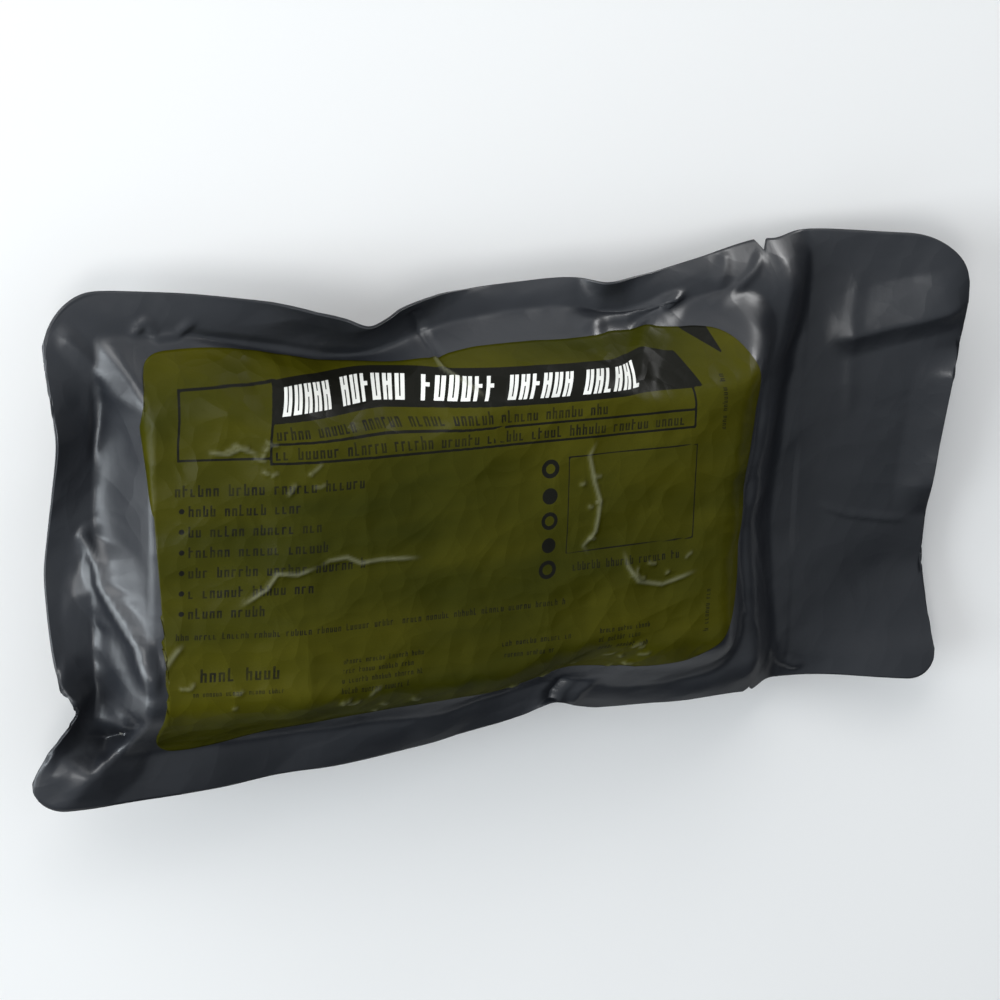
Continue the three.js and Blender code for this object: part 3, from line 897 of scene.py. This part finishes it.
def box_distance(s, t, left, right, low, high):
    across = np.abs(s - (left + right) / 2) - (right - left) / 2
    up = np.abs(t - (low + high) / 2) - (high - low) / 2
    return np.maximum(across, up)


def frame_distance(s, t, left, right, low, high):
    return np.abs(box_distance(s, t, left, right, low, high)) - LINE / 2


def print_distance(s, t):
    """Distance in millimetres to the nearest solid black shape, negative inside it."""
    left, right, low, high = BAR
    slanted_end = s - right - (high - t) * BAR_SLANT
    drape = BOX_DRAPE * np.clip((t - DRAPE_FROM) / DRAPE_RUN, 0, 2) ** 2 - BOX_SHIFT
    drape *= smooth((s - DRAPE_SETS_IN[0]) / DRAPE_SETS_IN[1])
    leaning = s - drape * smooth((DRAPE_FADES[0] - s) / DRAPE_FADES[1])
    corner_left, corner_right, corner_low, corner_high = PRINTED_CORNER
    corner = box_distance(s, t, corner_left, corner_right, corner_low, corner_high)
    corner_slant = corner_low + PRINTED_CORNER_FOOT - t + PRINTED_CORNER_SLOPE * (corner_right - s)
    shapes = [
        frame_distance(leaning, t, *BOX),
        frame_distance(s, t, *EMPTY_BOX) + FAINT,
        np.maximum(box_distance(leaning, t, left, right + high, low, high), slanted_end),
        np.maximum(corner, corner_slant),
    ]
    for below, above in zip(ROWS[1:], ROWS[:-1]):
        shapes.append(frame_distance(leaning, t, left, right, below, above))
    for middle in BULLETS:
        shapes.append(np.hypot(s - PRINT_LEFT - BULLET, t - middle) - BULLET)
    for middle_s, middle_t, radius, hole in RINGS:
        away = np.hypot(s - middle_s, t - middle_t)
        shapes.append(np.maximum(away - radius, radius * hole - away))
    return np.minimum.reduce(shapes)


def print_rows(piece, s, t):
    """Give each cell its place in a row of marks: along it, across it, what is left of it, and
    the row's number."""
    s = corners_of_cells(s)
    t = corners_of_cells(t)
    place = np.zeros((*s.shape, 3), np.float32)
    place[..., 1] = NOT_IN_A_ROW
    which = np.zeros(s.shape, np.float32)
    rows = [(s, t, *row) for row in ROWS_OF_MARKS]
    rows += [(t, -s, low, high, -middle, height) for low, high, middle, height in UPRIGHT_ROWS]
    for number, (run, up, left, right, middle, height) in enumerate(rows):
        off = np.abs(up.mean(axis=1) - middle) < height / 2 + LABEL_CELL
        inside = off & (run.mean(axis=1) > left) & (run.mean(axis=1) < right)
        along_row = np.stack([run - left, up - middle, right - run], axis=-1) / height
        place[inside] = along_row[inside]
        which[inside] = number
    loops = len(piece.data.loops)
    for name, kind, key, values in (
        ("row_place", "FLOAT_VECTOR", "vector", place.reshape(-1, 3)),
        ("row_number", "FLOAT", "value", which.reshape(-1, 1)),
    ):
        filled = np.zeros((loops, values.shape[1]), np.float32)
        filled[:, values.shape[1] // 2] = NOT_IN_A_ROW
        filled[: len(values)] = values
        piece.data.attributes.new(name, kind, "CORNER").data.foreach_set(key, filled.ravel())


def label_grid():
    """Places of the label's grid, whose cells are finer near its two ends."""
    count = 2 * round((LABEL_RIGHT - LABEL_LEFT) / LABEL_CELL / 2)
    even = np.linspace(0, 1, count + 1)
    finer = -np.cos(np.pi * (LABEL_ENDS_FROM + (1 - 2 * LABEL_ENDS_FROM) * even))
    finer = (finer - finer[0]) / (finer[-1] - finer[0])
    share = even + LABEL_ENDS_FINER * (finer - even)
    lower, upper = label_outline(share)
    rows = 2 * round((LABEL_TOP - LABEL_BOTTOM) / LABEL_CELL / 2)
    across = np.linspace(0, 1, rows + 1)[None, :]
    lean = LABEL_LEAN * (1 - share[:, None]) ** LABEL_LEAN_POWER * (LABEL_LEANS_ABOUT - across)
    s = LABEL_LEFT + share[:, None] * (LABEL_RIGHT - LABEL_LEFT) + lean
    t = lower[:, None] + (upper - lower)[:, None] * across
    return s, t


def label():
    s, t = label_grid()
    formed = folded(front_points(s, t), front_relief(s, t), s, t)
    facing = normals(formed)
    under = formed + facing * (SEAL_GAP / 2 + FILM + LABEL_GAP)
    outer = under + facing * (LABEL + label_relief(s, t)[..., None])
    piece = shell_mesh("printed_label", outer, under, False)
    # Paler paint along the creases: partly wear of the laminate, partly painted glints.
    creased = np.zeros_like(s)
    for points, _, left, right in LABEL_CREASES:
        wear_and_glint = min(1.0, WEAR_AND_GLINT_BY_LENGTH * len(points) ** WEAR_AND_GLINT_POWER)
        line = fold_height(s, t, points, wear_and_glint, left * WEAR_AND_GLINT_SPREAD, right * WEAR_AND_GLINT_SPREAD)
        creased = np.maximum(creased, line)
    point_values(piece, "print_distance", print_distance(s, t))
    point_values(piece, "creased", creased)
    print_rows(piece, s, t)
    return piece


# Materials: colours, noises as scale and detail, and bumps as strength and distance in metres,
# or for facets as cell and height in millimetres
NOISE_RANGE = (0.3, 0.7)
GRAIN = (900, 2)
GRAIN_BUMP = (0.3, 0.00006)
FACET_WARP = 0.4
FACET_PUSH = 1.6
COAT_IOR = 3.0

FILM_DARK = (0.012, 0.013, 0.016, 1)
FILM_LIGHT = (0.018, 0.020, 0.024, 1)
FILM_TINT = (45, 3)
FILM_ROUGHNESS = 0.6
FILM_FACETS = [(6.0, 0.18), (15.0, 0.4)]
FILM_COAT = 0.2
FILM_HAZE = ((120, 4), 0.30, 0.44)

# The label's olive in a shaded and a lit tone, mixed in soft horizontal streaks: painted shade and
# sheen of its undulations.
OLIVE_SHADED = (0.021, 0.023, 0.001, 1)
OLIVE_LIT = (0.052, 0.048, 0.002, 1)
INK = (0.007, 0.007, 0.005, 1)
WHITE = (0.70, 0.70, 0.66, 1)
# Paler colour along the creases: partly wear, partly painted glints.
WEAR_AND_GLINT_COLOUR = (0.30, 0.30, 0.20, 1)
WEAR_AND_GLINT_SHARE = 0.3
# Streaks of the olive's painted shade and sheen: scale, detail and stretch.
SHADE_AND_SHEEN_STREAKS = (1, 3, (22, 75, 22))
LABEL_ROUGHNESS = 0.7
LABEL_FACETS = [(4.0, 0.3), (10.0, 0.9)]
LABEL_COAT = 0.036
LABEL_HAZE = ((150, 4), 0.30, 0.42)
PRINT_EDGE = 0.05
FADED = ((500, 2), 0.6, 1.0)

CLOTH_DARK = (0.52, 0.50, 0.44, 1)
CLOTH_LIGHT = (0.70, 0.68, 0.61, 1)
WEAVE_SCALE = 900
WEAVE_DISTORTION = 1.5
WEAVE_BUMP = (0.4, 0.0003)
CLOTH_ROUGHNESS = 0.9

FLOOR_DARK = (0.87, 0.86, 0.845, 1)
FLOOR_LIGHT = (0.90, 0.89, 0.875, 1)
FLOOR_TINT = (6, 3)
FLOOR_ROUGHNESS = 0.85
FLOOR_SPECULAR = 0.2
FLOOR_HALF = 3.0


def plain_material(name, roughness):
    material = bpy.data.materials.new(name)
    material.use_nodes = True
    nodes = material.node_tree.nodes
    shader = nodes["Principled BSDF"]
    shader.inputs["Roughness"].default_value = roughness
    return material, nodes, material.node_tree.links, shader


def noise(nodes, links, scale, detail, stretch=None):
    texture = nodes.new("ShaderNodeTexNoise")
    texture.inputs["Scale"].default_value = scale
    texture.inputs["Detail"].default_value = detail
    place = nodes.new("ShaderNodeTexCoord")
    where = place.outputs["Object"]
    if stretch:
        stretched = nodes.new("ShaderNodeVectorMath")
        stretched.operation = "MULTIPLY"
        stretched.inputs[1].default_value = stretch
        links.new(where, stretched.inputs[0])
        where = stretched.outputs["Vector"]
    links.new(where, texture.inputs["Vector"])
    return texture.outputs["Fac"]


def map_range(nodes, links, value, *limits):
    node = nodes.new("ShaderNodeMapRange")
    for socket, limit in zip(("From Min", "From Max", "To Min", "To Max"), limits):
        node.inputs[socket].default_value = limit
    links.new(value, node.inputs["Value"])
    return node.outputs["Result"]


def uneven_value(nodes, links, texture, low, high):
    """A noise, spread over the values from low to high."""
    return map_range(nodes, links, noise(nodes, links, *texture), *NOISE_RANGE, low, high)


def colour_mix(nodes, links, factor, first, second):
    mix = nodes.new("ShaderNodeMix")
    mix.data_type = "RGBA"
    for socket, value in (("A", first), ("B", second)):
        target = [i for i in mix.inputs if i.name == socket and i.type == "RGBA"][0]
        if isinstance(value, tuple):
            target.default_value = value
        else:
            links.new(value, target)
    links.new(factor, mix.inputs["Factor"])
    return [o for o in mix.outputs if o.type == "RGBA"][0]


def bump(nodes, links, height, strength, distance, below=None):
    node = nodes.new("ShaderNodeBump")
    node.inputs["Strength"].default_value = strength
    node.inputs["Distance"].default_value = distance
    links.new(height, node.inputs["Height"])
    if below is not None:
        links.new(below, node.inputs["Normal"])
    return node.outputs["Normal"]


def creased_bump(nodes, links, cell, height, below=None):
    """A bump of flat facets between sharp creases; cell and height are in millimetres."""
    place = nodes.new("ShaderNodeTexCoord")
    warp = nodes.new("ShaderNodeTexNoise")
    warp.inputs["Scale"].default_value = FACET_WARP / (cell * MM)
    warp.inputs["Detail"].default_value = 1
    links.new(place.outputs["Object"], warp.inputs["Vector"])
    push = nodes.new("ShaderNodeVectorMath")
    push.operation = "MULTIPLY_ADD"
    push.inputs[1].default_value = (cell * MM * FACET_PUSH,) * 3
    links.new(warp.outputs["Color"], push.inputs[0])
    links.new(place.outputs["Object"], push.inputs[2])
    cells = nodes.new("ShaderNodeTexVoronoi")
    cells.inputs["Scale"].default_value = 1 / (cell * MM)
    links.new(push.outputs["Vector"], cells.inputs["Vector"])
    return bump(nodes, links, cells.outputs["Distance"], 1.0, height * MM, below)


def lacquer(nodes, links, shader, facets, weight, haze):
    """A thin glossy top layer over a matt base. Both follow a fine grain and facets."""
    facing = bump(nodes, links, noise(nodes, links, *GRAIN), *GRAIN_BUMP)
    for cell, height in facets:
        facing = creased_bump(nodes, links, cell, height, facing)
    shader.inputs["Specular IOR Level"].default_value = 0
    shader.inputs["Coat Weight"].default_value = weight
    shader.inputs["Coat IOR"].default_value = COAT_IOR
    links.new(uneven_value(nodes, links, *haze), shader.inputs["Coat Roughness"])
    links.new(facing, shader.inputs["Coat Normal"])
    links.new(facing, shader.inputs["Normal"])


def film_material():
    material, nodes, links, shader = plain_material("laminate_film", FILM_ROUGHNESS)
    tint = noise(nodes, links, *FILM_TINT)
    charcoal = colour_mix(nodes, links, tint, FILM_DARK, FILM_LIGHT)
    links.new(charcoal, shader.inputs["Base Color"])
    lacquer(nodes, links, shader, FILM_FACETS, FILM_COAT, FILM_HAZE)
    return material


def maths(nodes, links, operation, *values):
    node = nodes.new("ShaderNodeMath")
    node.operation = operation
    for socket, value in zip(node.inputs, values):
        if isinstance(value, (int, float)):
            socket.default_value = value
        else:
            links.new(value, socket)
    return node.outputs["Value"]


def attribute(nodes, name):
    node = nodes.new("ShaderNodeAttribute")
    node.attribute_name = name
    return node.outputs


# Rows of marks: the pitch and the title's slant in heights of the row, and how often and how far
# apart the gaps between words come
MARK_PITCH = 0.62
TITLE_SLANT = -0.7
WORD_BEAT = 0.146
ROW_SHIFT = 0.37

# A mark, in shares of the pitch along the row and of the row's height across it
STROKE_HALF = 0.13
TITLE_BOLDER = 0.03
FIRST_STROKE = 0.22
OTHER_STROKE = 0.66
SHORT_TOP = 0.18
TALLER = 0.32
SHORT_CHANCE = 0.72
MISSING_CHANCE = 0.3
BRIDGE = (0.44, 0.26)
BRIDGE_LOW = -0.44
BRIDGE_RISE = 0.56
BRIDGE_HALF = 0.08


def row_marks(nodes, links):
    """Rows of short strokes in word-like groups: plain marks, with nothing to read."""
    row = attribute(nodes, "row_number")["Fac"]
    split = nodes.new("ShaderNodeSeparateXYZ")
    links.new(attribute(nodes, "row_place")["Vector"], split.inputs["Vector"])
    run, up, left_over = split.outputs

    def do(operation, *values):
        return maths(nodes, links, operation, *values)

    title = do("LESS_THAN", row, TITLE_ROW + 0.5)
    slant = do("MULTIPLY", do("MULTIPLY", up, title), TITLE_SLANT)
    steps = do("DIVIDE", do("ADD", run, slant), MARK_PITCH)
    number = do("FLOOR", steps)
    share = do("FRACT", steps)
    which = nodes.new("ShaderNodeCombineXYZ")
    links.new(number, which.inputs["X"])
    links.new(row, which.inputs["Y"])
    chance = nodes.new("ShaderNodeTexWhiteNoise")
    links.new(which.outputs["Vector"], chance.inputs["Vector"])
    chances = nodes.new("ShaderNodeSeparateColor")
    links.new(chance.outputs["Color"], chances.inputs["Color"])
    tall, second, join = chances.outputs

    def both(*values):
        result = values[0]
        for value in values[1:]:
            result = do("MULTIPLY", result, value)
        return result

    stroke = do("MULTIPLY_ADD", title, TITLE_BOLDER, STROKE_HALF)
    has_rise = do("MAXIMUM", do("GREATER_THAN", tall, SHORT_CHANCE), title)
    under_rise = do("LESS_THAN", up, do("MULTIPLY_ADD", has_rise, TALLER, SHORT_TOP))
    under_middle = do("LESS_THAN", up, do("MULTIPLY_ADD", title, TALLER, SHORT_TOP))
    first_stroke = both(do("COMPARE", share, FIRST_STROKE, stroke), under_rise)
    has_other = do("GREATER_THAN", second, MISSING_CHANCE)
    other_stroke = both(do("COMPARE", share, OTHER_STROKE, stroke), under_middle, has_other)
    level = do("MULTIPLY_ADD", do("ROUND", join), BRIDGE_RISE, BRIDGE_LOW)
    bridge = both(do("COMPARE", share, *BRIDGE), do("COMPARE", up, level, BRIDGE_HALF))
    marks = do("MAXIMUM", do("MAXIMUM", first_stroke, other_stroke), bridge)
    shift = do("MULTIPLY", row, ROW_SHIFT)
    beat = do("FRACT", do("MULTIPLY_ADD", number, WORD_BEAT, shift))
    in_word = do("GREATER_THAN", beat, WORD_BEAT)
    length = do("DIVIDE", do("ADD", run, left_over), MARK_PITCH)
    last = do("SUBTRACT", do("FLOOR", length), title)
    begun = do("GREATER_THAN", do("SUBTRACT", number, title), -0.5)
    ended = do("LESS_THAN", do("ADD", number, 0.5), last)
    inside = both(do("COMPARE", up, 0.0, 0.5), begun, ended, in_word)
    marks = both(marks, inside)
    white = both(marks, title)
    return do("SUBTRACT", marks, white), white


def label_material():
    material, nodes, links, shader = plain_material("printed_label", LABEL_ROUGHNESS)
    # Olive streaked darker and lighter: painted shade and sheen.
    tint = uneven_value(nodes, links, SHADE_AND_SHEEN_STREAKS, 0, 1)
    olive = colour_mix(nodes, links, tint, OLIVE_SHADED, OLIVE_LIT)
    edge = attribute(nodes, "print_distance")["Fac"]
    solid = map_range(nodes, links, edge, 0.0, PRINT_EDGE, 1.0, 0.0)
    black, white = row_marks(nodes, links)
    rows = maths(nodes, links, "MULTIPLY", black, uneven_value(nodes, links, *FADED))
    ink = maths(nodes, links, "MAXIMUM", solid, rows)
    printed = colour_mix(nodes, links, ink, olive, INK)
    printed = colour_mix(nodes, links, white, printed, WHITE)
    # Paler paint along the creases: partly wear, partly painted glints.
    wear_and_glint = maths(nodes, links, "MULTIPLY", attribute(nodes, "creased")["Fac"], WEAR_AND_GLINT_SHARE)
    printed = colour_mix(nodes, links, wear_and_glint, printed, WEAR_AND_GLINT_COLOUR)
    links.new(printed, shader.inputs["Base Color"])
    lacquer(nodes, links, shader, LABEL_FACETS, LABEL_COAT, LABEL_HAZE)
    return material


def bandage_material():
    material, nodes, links, shader = plain_material("woven_bandage", CLOTH_ROUGHNESS)
    weave = nodes.new("ShaderNodeTexWave")
    weave.inputs["Scale"].default_value = WEAVE_SCALE
    weave.inputs["Distortion"].default_value = WEAVE_DISTORTION
    place = nodes.new("ShaderNodeTexCoord")
    links.new(place.outputs["Object"], weave.inputs["Vector"])
    threads = weave.outputs["Fac"]
    cloth = colour_mix(nodes, links, threads, CLOTH_DARK, CLOTH_LIGHT)
    links.new(cloth, shader.inputs["Base Color"])
    links.new(bump(nodes, links, threads, *WEAVE_BUMP), shader.inputs["Normal"])
    return material


def floor_material():
    material, nodes, links, shader = plain_material("pale_floor", FLOOR_ROUGHNESS)
    tint = noise(nodes, links, *FLOOR_TINT)
    pale = colour_mix(nodes, links, tint, FLOOR_DARK, FLOOR_LIGHT)
    links.new(pale, shader.inputs["Base Color"])
    shader.inputs["Specular IOR Level"].default_value = FLOOR_SPECULAR
    return material


def floor():
    mesh = bpy.data.meshes.new("floor")
    signs = [(-1, -1), (1, -1), (1, 1), (-1, 1)]
    mesh.from_pydata([(FLOOR_HALF * x, FLOOR_HALF * y, 0) for x, y in signs], [], [(0, 1, 2, 3)])
    mesh.materials.append(floor_material())
    piece = place_object("floor", mesh)


# The camera, turned from straight above the label, in degrees and millimetres
CAMERA_SIDEWAYS = -27.4
CAMERA_FORWARDS = -15.6
CAMERA_ROLL = 2.0
CAMERA_DISTANCE = 489.4
CAMERA_SHIFT = (-5.5, 0.9)
FOCAL_LENGTH = 108.0
SENSOR_WIDTH = 36.0
CLIP = (0.01, 20.0)


def camera():
    turn = (
        Matrix.Rotation(math.radians(CAMERA_SIDEWAYS), 4, "Y")
        @ Matrix.Rotation(math.radians(CAMERA_FORWARDS), 4, "X")
        @ Matrix.Rotation(math.radians(CAMERA_ROLL), 4, "Z")
    )
    seat = turn @ Vector((*CAMERA_SHIFT, CAMERA_DISTANCE))
    data = bpy.data.cameras.new("camera")
    data.lens = FOCAL_LENGTH
    data.sensor_width = SENSOR_WIDTH
    data.clip_start, data.clip_end = CLIP
    piece = place_object("camera", data)
    piece.matrix_world = Matrix.Translation((seat + Vector((0, 0, SEAL_HEIGHT))) * MM) @ turn
    bpy.context.scene.camera = piece


# Area lights, each looking at the pack from a direction, and a dome that is bright on one side
COOL = (0.88, 0.95, 1.0)
NEUTRAL = (1.0, 1.0, 1.0)
SOFTBOXES = [
    # name, direction, distance and size in metres, power in watts, colour
    ("key_softbox", (-0.88, 0.06, 0.47), 1.3, (0.5, 0.5), 9.0, COOL),
    ("fill_softbox", (-0.52, 0.68, 0.48), 1.3, (0.8, 0.8), 8.0, NEUTRAL),
    ("left_softbox", (-0.97, -0.12, 0.14), 0.9, (0.8, 0.25), 4.0, COOL),
    ("back_softbox", (-0.10, 0.80, 0.60), 1.2, (0.7, 0.25), 1.2, NEUTRAL),
    ("right_strip", (0.72, 0.68, 0.1), 0.9, (0.3, 0.2), 3.0, NEUTRAL),
    ("high_softbox", (-0.5, 0.0, 0.86), 1.1, (0.25, 0.25), 2.0, NEUTRAL),
]
DOME_BRIGHT_WAY = (-0.35, 0.35, 0.87)
DOME_EDGES = (-0.1, 0.5)
DOME_LEVELS = (0.02, 0.42)
DOME_COLOUR = (0.86, 0.93, 1.0, 1)


def studio_dome():
    """A dome that is bright above and behind the table, and almost dark in front."""
    world = bpy.data.worlds.new("studio")
    world.use_nodes = True
    nodes = world.node_tree.nodes
    links = world.node_tree.links
    way = nodes.new("ShaderNodeTexCoord")
    facing = nodes.new("ShaderNodeVectorMath")
    facing.operation = "DOT_PRODUCT"
    facing.inputs[1].default_value = DOME_BRIGHT_WAY
    links.new(way.outputs["Generated"], facing.inputs[0])
    level = map_range(nodes, links, facing.outputs["Value"], *DOME_EDGES, *DOME_LEVELS)
    back = nodes["Background"]
    back.inputs["Color"].default_value = DOME_COLOUR
    links.new(level, back.inputs["Strength"])
    bpy.context.scene.world = world


def lights():
    for name, direction, distance, size, power, colour in SOFTBOXES:
        data = bpy.data.lights.new(name, "AREA")
        data.shape = "RECTANGLE"
        data.size, data.size_y = size
        data.energy = power
        data.color = colour
        piece = place_object(name, data)
        way = Vector(direction).normalized()
        piece.location = way * distance
        piece.rotation_euler = (-way).to_track_quat("-Z", "Y").to_euler()
    studio_dome()
    bpy.context.scene.view_settings.view_transform = "Standard"


def dress():
    film = film_material()
    pieces = [
        (front_film(), "front_film", "film", film),
        (back_film(), "back_film", "film", film),
        (label(), "label", "label", label_material()),
        (bandage_roll(), "bandage_roll", "bandage", bandage_material()),
    ]
    for piece, node, slot, material in pieces:
        piece.data.materials.append(material)
        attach(piece, "root")
        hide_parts(node)


camera()
floor()
lights()
dress()
